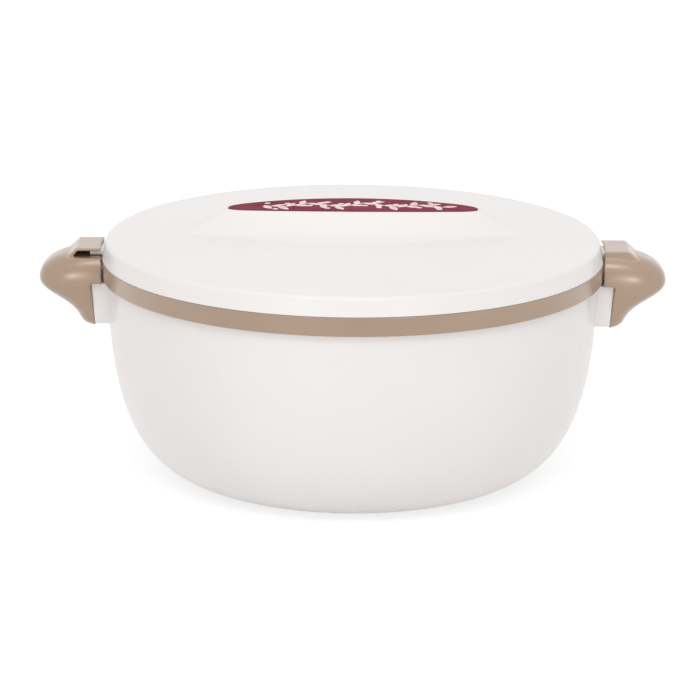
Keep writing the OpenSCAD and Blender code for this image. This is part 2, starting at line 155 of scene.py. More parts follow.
def seen_directly(tree):
    """1 for camera, glossy and transmission rays, 0 for the light that falls on things."""
    path = add(tree, "ShaderNodeLightPath").outputs
    seen = maths(tree, "MAXIMUM", path["Is Camera Ray"], path["Is Glossy Ray"])
    return maths(tree, "MAXIMUM", seen, path["Is Transmission Ray"])


def grey(value):
    """A grey of a given lightness."""
    return (value, value, value, 1)


print("node helpers ready")

# %% Floor that looks white and keeps the shadow
FLOOR_LIT, FLOOR_GLOW, FLOOR_SEEN = 0.88, 0.74, 0.36  # as light meets it; glow and colour as seen
FLOOR_HALF = 6
floor_paint = bpy.data.materials.new("floor_paint")
floor_paint.use_nodes = True
tree = floor_paint.node_tree
tree.nodes.clear()
lit = add(tree, "ShaderNodeBsdfDiffuse", {"Color": grey(FLOOR_LIT)})
glow = add(tree, "ShaderNodeEmission", {"Strength": FLOOR_GLOW})
seen_lit = add(tree, "ShaderNodeBsdfDiffuse", {"Color": grey(FLOOR_SEEN)})
both = add(tree, "ShaderNodeAddShader", {0: glow, 1: seen_lit})
choose = add(tree, "ShaderNodeMixShader", {0: seen_directly(tree), 1: lit, 2: both})
add(tree, "ShaderNodeOutputMaterial", {0: choose})

corners = [(x * FLOOR_HALF, y * FLOOR_HALF, 0) for x, y in ((-1, -1), (1, -1), (1, 1), (-1, 1))]
floor_mesh = raw_mesh("floor", corners, [], [(0, 1, 2, 3)])
floor_mesh.materials.append(floor_paint)
floor = place_object("floor", floor_mesh)
print("floor laid")

# %% Sky and lamps
SKY_LIGHT, SKY_SEEN = 0.72, 1.0
world = bpy.data.worlds.new("studio")
bpy.context.scene.world = world
world.use_nodes = True
tree = world.node_tree
tree.nodes.clear()
light, seen = (add(tree, "ShaderNodeBackground", {"Color": grey(1), "Strength": strength})
               for strength in (SKY_LIGHT, SKY_SEEN))
choose = add(tree, "ShaderNodeMixShader", {0: seen_directly(tree), 1: light, 2: seen})
add(tree, "ShaderNodeOutputWorld", {0: choose})


def soft_lamp(name, place, aim, width, height, watts):
    """A rectangular soft box that looks at a point; all in metres."""
    lamp = bpy.data.lights.new(name, "AREA")
    lamp.shape = "RECTANGLE"
    lamp.size, lamp.size_y, lamp.energy = width, height, watts
    facing = (Vector(aim) - Vector(place)).to_track_quat("-Z", "Y").to_matrix().to_4x4()
    place_object(name, lamp).matrix_world = Matrix.Translation(place) @ facing


soft_lamp("top_box", (0, 0.3, 2.2), (0, 0, 0.1), 2.4, 1.8, 5)
soft_lamp("brow_box", (0, -1.5, 1.9), (0, 0, 0.12), 1.6, 0.6, 10.5)
for side, name in ((-1, "left_box"), (1, "right_box")):
    soft_lamp(name, (side * 1.15, -2.6, 0.30), (0, 0, 0.1), 0.46, 0.34, 4.9)

# %% [markdown]
# ## Shared surface effects
# Real moulded plastic isn't one flat value. Its gloss drifts, it has a very fine ripple from the
# mould, and handling leaves hair-fine scuffs. Each effect is a node group, built once, that
# takes object coordinates and gives a colour, a roughness or a height; every finish places it with
# its own numbers. A picture could do it too, but would slide over edges and need a UV map.

# %% Helpers for node groups


def new_tree(name, inputs, outputs=None):
    """A tree with named inputs (name, kind and perhaps a value): a surface effect, which takes a
    vector first and has outputs, or else one that takes and gives geometry. With the tree come
    what it is given, its end node and its inputs' identifiers, by which a modifier sets them."""
    kind, first = ("ShaderNodeTree", "Vector") if outputs else ("GeometryNodeTree", "Geometry")
    tree = bpy.data.node_groups.new(name, kind)
    identifiers = {}
    for label, sort, *value in ((first, first), *inputs):
        socket = tree.interface.new_socket(label, in_out="INPUT", socket_type="NodeSocket" + sort)
        if value:
            socket.default_value = value[0]
        identifiers[label] = socket.identifier
    for label, sort in outputs or [(first, first)]:
        tree.interface.new_socket(label, in_out="OUTPUT", socket_type="NodeSocket" + sort)
    given = tree.nodes.new("NodeGroupInput").outputs
    return tree, given, tree.nodes.new("NodeGroupOutput"), identifiers


def noise(tree, vector, scale, detail=2.0, stretch=None):
    """A noise texture on a vector, stretched along the axes where that is asked for."""
    if stretch is not None:
        vector = add(tree, "ShaderNodeMapping", {"Scale": stretch, "Vector": vector})
    return add(tree, "ShaderNodeTexNoise", {"Detail": detail, "Scale": scale, "Vector": vector})


def spread(tree, value, low, high, to_low, to_high):
    """Maps a value from one range to another."""
    return add(tree, "ShaderNodeMapRange", {0: value, 1: low, 2: high, 3: to_low, 4: to_high})


def mix_colours(tree, factor, first, second):
    """Mixes two colours by a factor; a mix node has its colours' sockets after the others."""
    mix = add(tree, "ShaderNodeMix", {0: factor, 6: first, 7: second}, data_type="RGBA")
    return mix.outputs[2]


print("group helpers ready")

# %% Moulded surface: slow drift of tone and gloss, fine ripple
moulded, given, end, _ = new_tree(
    "moulded_surface", (("Tone", "Color"), ("Shade", "Color"), ("Drift Scale", "Float"),
                        ("Ripple Scale", "Float"), ("Gloss", "Float"), ("Dull", "Float")),
    (("Color", "Color"), ("Roughness", "Float"), ("Height", "Float")))
drift = noise(moulded, given["Vector"], given["Drift Scale"], 3.0)
colour = mix_colours(moulded, spread(moulded, drift, 0.35, 0.65, 0.0, 1.0),
                     given["Tone"], given["Shade"])
gloss = spread(moulded, noise(moulded, given["Vector"], 90.0, 4.0), 0.3, 0.7,
               given["Gloss"], given["Dull"])
ripple = noise(moulded, given["Vector"], given["Ripple Scale"], 1.0)
feed(moulded, end, {"Color": colour, "Roughness": gloss, "Height": ripple})
print("group:", moulded.name)

# %% Handling scuffs: hair-fine scratches in two directions that roughen some patches
scuffs, given, end, _ = new_tree(
    "handling_scuffs", (("Amount", "Float"), ("Roughness", "Float")), (("Roughness", "Float"),))
hairs = [spread(scuffs, noise(scuffs, given["Vector"], 1.0, 2.0, stretch), 0.66, 0.74, 0.0, 1.0)
         for stretch in ((30.0, 700.0, 420.0), (520.0, 40.0, 900.0))]
patch = spread(scuffs, noise(scuffs, given["Vector"], 22.0), 0.45, 0.7, 0.0, 1.0)
mask = maths(scuffs, "MULTIPLY", maths(scuffs, "MAXIMUM", *hairs), patch)
feed(scuffs, end, {"Roughness": maths(scuffs, "MULTIPLY_ADD", mask, given["Amount"],
                                      given["Roughness"])})
print("group:", scuffs.name)

# %% Turned grain: fine rings round the axis, as satin steel has after polishing on a lathe
AROUND = 0.0016  # how quickly the grain changes along a turn, so that its rings stay long
turned, given, end, _ = new_tree(
    "turned_grain", (("Rings", "Float"), ("Gloss", "Float"), ("Dull", "Float"),
                     ("Tone", "Color"), ("Shade", "Color")),
    (("Color", "Color"), ("Roughness", "Float"), ("Height", "Float")))
x, y, z = add(turned, "ShaderNodeSeparateXYZ", {0: given["Vector"]}).outputs
flat = add(turned, "ShaderNodeCombineXYZ", {0: x, 1: y})
radius = add(turned, "ShaderNodeVectorMath", {0: flat}, operation="LENGTH").outputs["Value"]
along = maths(turned, "MULTIPLY", maths(turned, "ARCTAN2", y, x), AROUND)
unrolled = add(turned, "ShaderNodeCombineXYZ", {0: radius, 1: z, 2: along})
rings = noise(turned, unrolled, given["Rings"], 3.0)
feed(turned, end, {
    "Color": mix_colours(turned, noise(turned, unrolled, 260.0), given["Tone"], given["Shade"]),
    "Roughness": spread(turned, rings, 0.3, 0.7, given["Gloss"], given["Dull"]),
    "Height": rings})
print("group:", turned.name)

# %% Pearl flakes: tiny cells of mica in a tan plastic, whose painted glint lightens or darkens it
pearl_glint, given, end, _ = new_tree(
    "pearl_flakes", (("Color", "Color"), ("Glint", "Color"), ("Flakes", "Float"),
                     ("Amount", "Float")), (("Color", "Color"), ("Height", "Float")))
cells = add(pearl_glint, "ShaderNodeTexVoronoi", {"Vector": given["Vector"], "Scale": given["Flakes"]})
shine = add(pearl_glint, "ShaderNodeSeparateColor", {0: cells.outputs["Color"]}).outputs
# Painted glint: each flake's cell is mixed toward the glint colour
glinting = spread(pearl_glint, shine[0], 0.55, 1.0, 0.0, given["Amount"])
feed(pearl_glint, end, {"Color": mix_colours(pearl_glint, glinting, given["Color"], given["Glint"]),
                  "Height": shine[1]})
print("group:", pearl_glint.name)

# %% [markdown]
# ## Finishes
# Each finish is a Principled shader whose plain numbers sit on its own sockets, and whose colour,
# roughness and bump come from the groups above. The white is a warm gloss plastic, the tan has
# a pearl sheen under a clear skin, the steel is satin with rings from turning.

# %% Helpers for finishes


def linear(red, green, blue):
    """A colour as a picture shows it (0 to 255), turned into light."""
    return tuple((c / 255.0) ** 2.2 for c in (red, green, blue)) + (1.0,)


def spaced(values):
    """Values by their sockets' names, which have spaces where keywords can't."""
    return {label.replace("_", " "): value for label, value in values.items()}


def new_finish(name, **plain):
    """A material with a Principled shader, its plain socket values and object coordinates."""
    material = bpy.data.materials.new(name)
    material.use_nodes = True
    tree = material.node_tree
    shader = feed(tree, tree.nodes["Principled BSDF"], spaced(plain))
    return material, tree, shader, add(tree, "ShaderNodeTexCoord").outputs["Object"]


def use_group(tree, group, vector, **values):
    """The outputs of a node group placed on a vector, with its inputs set by name."""
    return add(tree, "ShaderNodeGroup", {"Vector": vector, **spaced(values)},
               node_tree=group).outputs


def dress(tree, shader, colour, roughness, height, strength, distance):
    """Feeds a shader's colour and roughness, and its normal from a height."""
    bump = add(tree, "ShaderNodeBump",
               {"Strength": strength, "Distance": distance, "Height": height})
    feed(tree, shader, {"Base Color": colour, "Roughness": roughness, "Normal": bump})


def moulded_finish(name, tone, shade, scales, gloss, bump, scuff=0, glint=None, **plain):
    """A moulded finish: two tones, scales of drift and ripple, range of roughness, strength and
    depth of bump, amount of scuffs, and the painted glint colour of pearl flakes if there are any."""
    material, tree, shader, place = new_finish(name, **plain)
    skin = use_group(tree, moulded, place, Tone=linear(*tone), Shade=linear(*shade),
                     Drift_Scale=scales[0], Ripple_Scale=scales[1], Gloss=gloss[0], Dull=gloss[1])
    colour, roughness, height = skin["Color"], skin["Roughness"], skin["Height"]
    # Painted glint: the pearl flakes lighten the colour toward the glint colour
    if glint:
        mica_glint = use_group(tree, pearl_glint, place, Color=colour, Glint=linear(*glint), Flakes=4200.0,
                         Amount=0.2)
        colour, height = mica_glint["Color"], mica_glint["Height"]
    if scuff:
        worn = use_group(tree, scuffs, place, Amount=scuff, Roughness=roughness)
        roughness = worn["Roughness"]
    dress(tree, shader, colour, roughness, height, *bump)
    print("finish:", name)
    return material


# %% White gloss plastic of the bowl and the lid, and pearly tan of the collar and the handles
white_plastic = moulded_finish(
    "white_plastic", (240, 236, 234), (237, 233, 230), (9.0, 520.0), (0.3, 0.38), (0.06, 2e-4),
    scuff=0.08, Coat_Weight=0.25, Coat_Roughness=0.12, IOR=1.5)
# The tan's glint colour is painted glint on its pearl flakes
tan_plastic = moulded_finish(
    "tan_plastic", (168, 143, 122), (161, 135, 113), (12.0, 640.0), (0.27, 0.33), (0.02, 5e-5),
    scuff=0.06, glint=(196, 174, 156), Metallic=0.25, Coat_Weight=1.0, Coat_Roughness=0.25,
    Specular_IOR_Level=0.3)

# %% Satin steel of the bowl and the lid's plate, and zinc on the screws
steel, tree, shader, place = new_finish("satin_steel", Metallic=1.0)
grain = use_group(tree, turned, place, Rings=2600.0, Gloss=0.2, Dull=0.34,
                  Tone=linear(205, 204, 202), Shade=linear(188, 187, 186))
dress(tree, shader, grain["Color"], grain["Roughness"], grain["Height"], 0.12, 5e-5)
print("finish:", steel.name)
zinc = moulded_finish("zinc_plate", (196, 198, 202), (160, 166, 178), (300.0, 3000.0),
                      (0.25, 0.5), (0.2, 5e-5), Metallic=1.0)

# %% Foam, silicone, and the label's maroon and cream
foam = moulded_finish("rigid_foam", (240, 226, 188), (226, 204, 150), (60.0, 900.0),
                      (0.85, 0.95), (0.8, 6e-4))
silicone = moulded_finish("milky_silicone", (226, 226, 221), (214, 214, 208), (30.0, 1500.0),
                          (0.42, 0.55), (0.15, 1e-4), IOR=1.42)
label_maroon = moulded_finish("label_maroon", (130, 24, 58), (114, 18, 48), (45.0, 900.0),
                              (0.5, 0.6), (0.05, 1e-4), scuff=0.15, Specular_IOR_Level=0.12)
print_cream = moulded_finish("print_cream", (250, 236, 232), (238, 200, 202), (260.0, 1800.0),
                             (0.4, 0.5), (0.08, 5e-5), Specular_IOR_Level=0.15)

# %% [markdown]
# ## Turned pieces
# The bowl, collar, seal and plates are all shapes of revolution, so one small Geometry Nodes
# tree makes them: it sweeps a profile round a guide circle. The Spin tool or a Screw modifier
# could do it as well; the tree keeps the segment count and the finish as named inputs, and one
# tree serves every round piece.

# %% The tree that turns a profile round the axis
GUIDE = 0.1  # radius of the guide circle, in metres; the profile is drawn from it
SEGMENTS, WELD = 256, 2e-6  # steps round the axis; points nearer than this many metres are joined
turning, given, end, turn_keys = new_tree(
    "turned_piece", (("Segments", "Int", SEGMENTS), ("Guide Radius", "Float", GUIDE),
                     ("Finish", "Material")))
outline = add(turning, "GeometryNodeMeshToCurve", {"Mesh": given["Geometry"]})
circle = add(turning, "GeometryNodeCurvePrimitiveCircle",
             {"Resolution": given["Segments"], "Radius": given["Guide Radius"]})
sweep = add(turning, "GeometryNodeCurveToMesh", {"Curve": circle, "Profile Curve": outline})
weld = add(turning, "GeometryNodeMergeByDistance", {"Geometry": sweep, "Distance": WELD})
real = add(turning, "GeometryNodeRealizeInstances", {"Geometry": weld})
paint = add(turning, "GeometryNodeSetMaterial", {"Geometry": real, "Material": given["Finish"]})
feed(turning, end, {"Geometry": paint})
print("tree:", turning.name, turn_keys)

# %% Helpers: bake modifiers, close and smooth a mesh, turn a profile


def bake(piece):
    """Applies all of an object's modifiers and leaves a plain mesh."""
    seen = piece.evaluated_get(bpy.context.evaluated_depsgraph_get())
    mesh = bpy.data.meshes.new_from_object(seen)
    piece.modifiers.clear()
    old = piece.data
    piece.data = mesh
    bpy.data.meshes.remove(old)
    mesh.name = piece.name


def tidy(mesh, crease=38.0):
    """Welds a mesh, turns its faces outwards, smooths it between its sharp edges, and says how
    many edges don't join two faces and how many faces there are."""
    work = bmesh.new()
    work.from_mesh(mesh)
    bmesh.ops.remove_doubles(work, verts=work.verts, dist=1e-6)
    bmesh.ops.recalc_face_normals(work, faces=work.faces)
    open_edges = sum(1 for e in work.edges if len(e.link_faces) != 2)
    work.to_mesh(mesh)
    work.free()
    mesh.shade_smooth()
    mesh.set_sharp_from_angle(angle=radians(crease))
    return "open edges %d faces %d" % (open_edges, len(mesh.polygons))


def turn_profile(name, points, finish, closed=True):
    """Turns a profile of (radius, height) points in millimetres into a solid."""
    count = len(points)
    corners = [(r * MM - GUIDE, -z * MM, 0) for r, z in points]
    edges = [(i, i + 1) for i in range(count - 1)] + ([(count - 1, 0)] if closed else [])
    piece = place_object(name, raw_mesh(name, corners, edges, []))
    maker = piece.modifiers.new("turn", "NODES")
    maker.node_group = turning
    maker[turn_keys["Finish"]] = finish
    bake(piece)
    report = tidy(piece.data)
    places = np.array([v.co for v in piece.data.vertices]) / MM
    print(name, "from", places.min(0).round(2), "to", places.max(0).round(2), report)
    return piece


# %% Helpers: rounded corners and bowl curves
MOST_CUT, HOLD = 0.42, 1.12  # most of a side that a round takes; where the flat's point is


def soften(corners, steps=5):
    """Rounds the corners of a closed outline of (x, z, radius), with a point to hold each flat."""
    points = [np.array(c[:2], float) for c in corners]
    result = []
    for i, (*_, radius) in enumerate(corners):
        here, before, after = points[i], points[i - 1], points[(i + 1) % len(points)]
        if radius <= 0:
            result.append(tuple(here))
            continue
        ways = [before - here, after - here]
        lengths = [np.linalg.norm(w) for w in ways]
        cut = min(radius, MOST_CUT * min(lengths))
        near = [here + w / n * cut for w, n in zip(ways, lengths)]
        hold = [here + w / n * cut * HOLD for w, n in zip(ways, lengths)]
        result.append(tuple(hold[0]))
        for k in range(steps + 1):
            t = k / steps
            result.append(tuple((1 - t) ** 2 * near[0] + 2 * t * (1 - t) * here + t * t * near[1]))
        result.append(tuple(hold[1]))
    return result


def bowl_curve(top, bottom, radius, whole, side, corner, steps):
    """Points of a bowl's curve of a whole depth, from its mouth down, closer together in the
    corner. The side is straighter, and the corner tighter, with a higher exponent."""
    depths = [(top - bottom) * (1 - (1 - i / steps) ** 2) for i in range(steps + 1)]
    return [(radius * (1 - (d / whole) ** side) ** (1 / corner), top - d) for d in depths]


def plain(points):
    """Points that keep their sharp place in soften."""
    return [(r, z, 0) for r, z in points]


print("profile helpers ready")

# %% [markdown]
# ## Outer shell
# The white outer bowl: nearly upright under the collar, then curving in to a narrow foot ring.
# It is turned from its closed profile, wall and all. On each side a block for the handle is
# joined on, with soft edges. The rods for the screws are wound inside out and only mark the
# faces, so this skin has no screw holes and an ear's hollow no screw bosses. The solids do.

# %% Turn the shell
CURVE_DEPTH, BODY_CURVE = 111.6, (2.3, 6.4)
FOOT_W, RECESS = 6, 1.6  # width and height of the foot ring
outer = bowl_curve(BODY_TOP, 0, BODY_R, CURVE_DEPTH, *BODY_CURVE, 72)
inner = bowl_curve(BODY_TOP, FLOOR_Z, BODY_R - WALL, CURVE_DEPTH - WALL / 2, *BODY_CURVE, 48)
foot_r = outer[-1][0]
shell_profile = soften(
    [(foot_r, 0, 0.5), (foot_r - FOOT_W, 0, 0.6), (foot_r - FOOT_W, RECESS, 0.8), (6, RECESS, 0),
     (6, FLOOR_Z, 0)]
    + plain(inner[:0:-1]) + [(inner[0][0], BODY_TOP, 0.3), (BODY_R, BODY_TOP, 0.5)]
    + plain(outer[1:-1]))
outer_shell = turn_profile("outer_shell_skin", shell_profile, white_plastic)

# %% Join the handle blocks and mark the screws' places


def from_work(name, work):
    """A mesh from a bmesh, its faces turned outwards."""
    bmesh.ops.recalc_face_normals(work, faces=work.faces)
    mesh = bpy.data.meshes.new(name)
    work.to_mesh(mesh)
    work.free()
    return mesh


def round_edges(work, edges, radius):
    """Bevels edges into small rounds."""
    bmesh.ops.bevel(work, geom=edges, offset=radius * MM, segments=3, affect="EDGES", profile=0.5)


def block_mesh(name, side_outline, half_width, round_off):
    """A prism with an outline of (x, z) points between -y and +y, its edges rounded."""
    work = bmesh.new()
    ends = [[work.verts.new((x * MM, y * MM, z * MM)) for x, z in side_outline]
            for y in (-half_width, half_width)]
    count = len(side_outline)
    work.faces.new(ends[0])
    work.faces.new(ends[1][::-1])
    for i in range(count):
        j = (i + 1) % count
        work.faces.new((ends[0][j], ends[0][i], ends[1][i], ends[1][j]))
    if round_off:
        round_edges(work, list(work.edges), round_off)
    return from_work(name, work)


def rod_mesh(name, steps, y, z, sides=40):
    """A round bar along X, from its steps of (x, radius). Its faces point inward."""
    turns = np.arange(sides) * 2 * pi / sides
    rings = [[(x, y + r * cos(a), z + r * sin(a)) for a in turns] for x, r in steps]
    points = [tuple(v * MM for v in p) for ring in rings for p in ring]
    faces = [tuple(range(sides)), tuple(range(len(points) - 1, len(points) - sides - 1, -1))]
    for k in range(len(steps) - 1):
        a, b = k * sides, (k + 1) * sides
        faces += [(a + (i + 1) % sides, a + i, b + i, b + (i + 1) % sides) for i in range(sides)]
    return raw_mesh(name, points, [], faces)


def combine(piece, mesh, how, both_ends=False):
    """Joins a mesh to a piece or cuts it off, also turned half a turn for the other end."""
    if both_ends:
        work = bmesh.new()
        work.from_mesh(mesh)
        copy = bmesh.ops.duplicate(work, geom=work.verts[:] + work.edges[:] + work.faces[:])
        turned_verts = [g for g in copy["geom"] if isinstance(g, bmesh.types.BMVert)]
        bmesh.ops.rotate(work, verts=turned_verts, matrix=Matrix.Rotation(pi, 3, "Z"))
        work.to_mesh(mesh)
        work.free()
    tool = place_object("tool", mesh)
    maker = piece.modifiers.new(how, "BOOLEAN")
    maker.object = tool
    maker.operation = how
    maker.solver = "EXACT"
    bake(piece)
    bpy.data.objects.remove(tool)
    bpy.data.meshes.remove(mesh)


BLOCK = [(125.5, 83), (138.2, 83), (140.5, 105.5), (125.5, 105.5)]
BLOCK_W, BLOCK_ROUND = 17, 0.7  # half width, and radius of the edges
SCREW_Y, SCREW_Z = 8, 95
SCREW_BORE = [(112, 4.1), (130.75, 4.1), (130.75, 2.25), (141.5, 2.25)]
combine(outer_shell, block_mesh("block", BLOCK, BLOCK_W, BLOCK_ROUND), "UNION", both_ends=True)
for y in (-SCREW_Y, SCREW_Y):
    combine(outer_shell, rod_mesh("bore", SCREW_BORE, y, SCREW_Z), "DIFFERENCE", both_ends=True)
print("shell", tidy(outer_shell.data))
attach(outer_shell, "casserole_body")
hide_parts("outer_shell")

# %% [markdown]
# ## Collar, steel bowl, seal and lid plate
# The tan collar is the band seen between bowl and lid; behind it is the ledge that carries the
# steel bowl's rolled rim. The seal ring lies on that rim, and the lid's steel plate presses on
# it. All four are turned, with the small radii that moulding and pressing leave.

# %% Turn the collar
collar_profile = soften([
    (COLLAR_R, BODY_TOP, 0.7), (COLLAR_R, RIM_Z, 0.4), (122.5, RIM_Z, 0.4), (122.5, LEDGE_Z, 0.3),
    (115.1, LEDGE_Z, 0.5), (115.1, 114.0, 0.3), (126.8, 114.0, 0.4), (126.8, 100.0, 0.3),
    (129.2, 100.0, 0.5), (129.2, BODY_TOP, 0)])
collar = turn_profile("collar_skin", collar_profile, tan_plastic)
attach(collar, "casserole_body")
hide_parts("rim_collar")

# %% Turn the steel bowl with its rolled rim
STEEL_DEPTH, STEEL_CURVE, BEAD = 103.9, (2.8, 5.0), 0.8  # the bead is the rolled rim's radius
steel_out = bowl_curve(LEDGE_Z, BOWL_Z, BOWL_R, STEEL_DEPTH, *STEEL_CURVE, 48)
steel_in = bowl_curve(FLANGE_Z, BOWL_Z + SHEET, BOWL_R - SHEET, STEEL_DEPTH, *STEEL_CURVE, 48)
bead = [(FLANGE_R - BEAD + BEAD * cos(radians(a)),
         LEDGE_Z + BEAD + BEAD * sin(radians(a))) for a in range(-90, 141, 23)]
bowl_profile = soften(
    [(0, BOWL_Z, 0)] + plain(steel_out[:0:-1]) + [(BOWL_R, LEDGE_Z, 0.6)] + plain(bead)
    + [(FLANGE_R - 1.7, FLANGE_Z, 0), (BOWL_R - SHEET, FLANGE_Z, 1.0)] + plain(steel_in[1:])
    + [(0, BOWL_Z + SHEET, 0)])
steel_bowl = turn_profile("steel_bowl_skin", bowl_profile, steel, closed=False)
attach(steel_bowl, "casserole_body")
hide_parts("inner_bowl")

# %% Turn the seal ring and the lid's steel plate
SEAL_IN, SEAL_OUT, SEAL_Z = 115.1, 119.7, FLANGE_Z + 0.15  # it clears the flange by a hair
seal_profile = soften([(SEAL_IN, SEAL_Z, 0.6), (SEAL_OUT, SEAL_Z, 0.6),
                       (SEAL_OUT, SEAL_TOP, 0.9), (SEAL_IN, SEAL_TOP, 0.9)])
seal = turn_profile("seal_skin", seal_profile, silicone)
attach(seal, "seal_ring")
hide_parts("rim_seal")

PLUG_R, PLUG_Z, PLATE_R = 112.2, 111.0, 131.57
plate_profile = soften([
    (0, PLUG_Z, 0), (PLUG_R, PLUG_Z, 4.5), (PLUG_R, PLATE_Z, 0.4), (PLATE_R, PLATE_Z, 0.25),
    (PLATE_R, PLATE_Z + SHEET, 0.25), (PLUG_R - SHEET, PLATE_Z + SHEET, 1.0),
    (PLUG_R - SHEET, PLUG_Z + SHEET, 3.2), (0, PLUG_Z + SHEET, 0)], steps=7)
lid_plate = turn_profile("lid_plate_skin", plate_profile, steel, closed=False)
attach(lid_plate, "lid")
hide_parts("lid_liner")

# %% [markdown]
# ## Ear handles
# Each handle is a moulded ear: rounded in plan, full at the bulge, tucked in under it, with a
# hook plate on top whose slot takes the lid's lug. The ear is a loft through rounded rings; the
# hook is joined and the slot cut. Then the whole is remeshed finely and relaxed, which gives
# every edge the small even radius of a moulding, and blends the hook into the ear.

# %% Rings of the ear
REACH, OUT, ROOT, HALF_W = 169.0, 34.0, 126.0, 20.0
EAR_TOP, BULGE_Z, EAR_FOOT = 120.6, 106.0, 81.0
SQUARENESS = 3.2  # of the ear in plan: 2 is an ellipse, more is squarer


def cubic(controls, steps, first=0):
    """Points of a cubic curve with four control points."""
    p = np.array(controls, float)
    t = np.arange(first, steps + 1)[:, None] / steps
    return ((1 - t) ** 3 * p[0] + 3 * t * (1 - t) ** 2 * p[1] + 3 * t * t * (1 - t) * p[2]
            + t ** 3 * p[3])


ear_line = np.concatenate([  # reach, height and half width, from the top over the bulge to the foot
    cubic([(REACH - 0.64 * OUT, EAR_TOP, HALF_W - 8), (REACH - 0.34 * OUT, EAR_TOP, HALF_W - 4),
           (REACH, BULGE_Z + 9, HALF_W), (REACH, BULGE_Z, HALF_W)], 24),
    cubic([(REACH, BULGE_Z, HALF_W), (REACH, BULGE_Z - 7.5, HALF_W),
           (REACH - 0.45 * OUT, BULGE_Z - 10, HALF_W - 1),
           (REACH - 0.62 * OUT, EAR_FOOT + 5, HALF_W - 3)], 24, 1),
    cubic([(REACH - 0.62 * OUT, EAR_FOOT + 5, HALF_W - 3),
           (REACH - 0.66 * OUT, EAR_FOOT + 2, HALF_W - 3.5),
           (REACH - 0.70 * OUT, EAR_FOOT, HALF_W - 5),
           (REACH - 0.82 * OUT, EAR_FOOT, HALF_W - 7)], 8, 1)])
turns = np.radians(np.linspace(-90, 90, 73))
bulge = np.abs(np.cos(turns)) ** (2 / SQUARENESS)
sway = np.sign(np.sin(turns)) * np.abs(np.sin(turns)) ** (2 / SQUARENESS)
bulge[[0, -1]] = 0
ear_rings = [np.stack([ROOT + (x - ROOT) * bulge, w * sway, np.full(len(turns), z)], 1)
             for x, z, w in ear_line]
print("ear rings", len(ear_rings), "points each", len(turns))

# %% Loft helper and the ear itself


def loft(name, rings, loop=False):
    """Skins rings that have equal counts; the ends are capped, or the last joins the first."""
    count, size = len(rings), len(rings[0])
    points = np.concatenate(rings) * MM
    faces = []
    for k in range(count if loop else count - 1):
        a, b = k * size, ((k + 1) % count) * size
        faces += [(a + i, a + (i + 1) % size, b + (i + 1) % size, b + i) for i in range(size)]
    if not loop:
        faces.append(tuple(range(size - 1, -1, -1)))
        faces.append(tuple(range((count - 1) * size, count * size)))
    mesh = raw_mesh(name, points.tolist(), [], faces)
    work = bmesh.new()
    work.from_mesh(mesh)
    bpy.data.meshes.remove(mesh)
    return from_work(name, work)


def slab_mesh(name, outline, y0, y1):
    """A prism along Y from an outline of (x, z)."""
    mesh = block_mesh(name, outline, (y1 - y0) / 2, 0)
    mesh.transform(Matrix.Translation((0, (y0 + y1) / 2 * MM, 0)))
    return mesh


def pillar_mesh(name, radius, z0, z1):
    """A round pillar about the axis."""
    work = bmesh.new()
    bmesh.ops.create_cone(work, cap_ends=True, segments=360, radius1=radius * MM,
                          radius2=radius * MM, depth=(z1 - z0) * MM,
                          matrix=Matrix.Translation((0, 0, (z0 + z1) / 2 * MM)))
    return from_work(name, work)


HOOK = [(126, 117.8), (154, 117.8), (153.5, 118.8), (148, 123.7), (126, 123.7)]
SLOT = [(124, 118.8), (150.5, 118.8), (147.5, 122.1), (124, 122.1)]
SEAT = [(100, 80), (137.9, 80), (140.5, 105.5), (100, 105.5)]
HOLLOW = [(120, 86), (142.2, 86), (145.6, 90), (149.8, 94), (154.6, 97), (161, 102.5), (120, 102.5)]
HOOK_W, SLOT_STOP, SEAT_R = 14, -9.3, 135.6  # the slot is closed behind its stop
HOLLOW_IN, HOLLOW_OUT, BOSS_R, SHANK_R = 1.2, 11.6, 4.95, 2.0  # a rib stays between the hollows
ear = place_object("right_handle_skin", loft("right_handle_skin", ear_rings))
combine(ear, slab_mesh("hook", HOOK, -HOOK_W, HOOK_W), "UNION")
combine(ear, slab_mesh("slot", SLOT, SLOT_STOP, 40), "DIFFERENCE")
for side in (-1, 1):
    y0, y1 = sorted((side * HOLLOW_IN, side * HOLLOW_OUT))
    pocket = place_object("pocket", slab_mesh("pocket", HOLLOW, y0, y1))
    boss = rod_mesh("boss", [(115, BOSS_R), (175, BOSS_R)], side * SCREW_Y, SCREW_Z)
    combine(pocket, boss, "DIFFERENCE")
    combine(ear, pocket.data.copy(), "DIFFERENCE")
    bpy.data.objects.remove(pocket)
combine(ear, pillar_mesh("collar_seat", SEAT_R, 70, 130), "DIFFERENCE")
combine(ear, slab_mesh("block_seat", SEAT, -30, 30), "DIFFERENCE")
for y in (-SCREW_Y, SCREW_Y):
    shank = rod_mesh("shank", [(125, SHANK_R), (150.2, SHANK_R)], y, SCREW_Z)
    combine(ear, shank, "DIFFERENCE")
print("ear", len(ear.data.polygons), "faces before it is softened")

# %% Soften the ear and make the other one
GRID, RELAXED = 0.5, 7  # size of the new faces in millimetres, and rounds of smoothing
remesh = ear.modifiers.new("even_grid", "REMESH")
remesh.mode = "VOXEL"
remesh.voxel_size = GRID * MM
relax = ear.modifiers.new("relax", "SMOOTH")
relax.factor, relax.iterations = 0.5, RELAXED
bake(ear)
ear.data.materials.clear()
ear.data.materials.append(tan_plastic)
print("ear", tidy(ear.data, 60))

other_mesh = ear.data.copy()
other_mesh.transform(Matrix.Rotation(pi, 4, "Z"))
other_ear = place_object("left_handle_skin", other_mesh)
for piece, node in ((ear, "right_handle"), (other_ear, "left_handle")):
    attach(piece, "casserole_body")
    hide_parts(node)

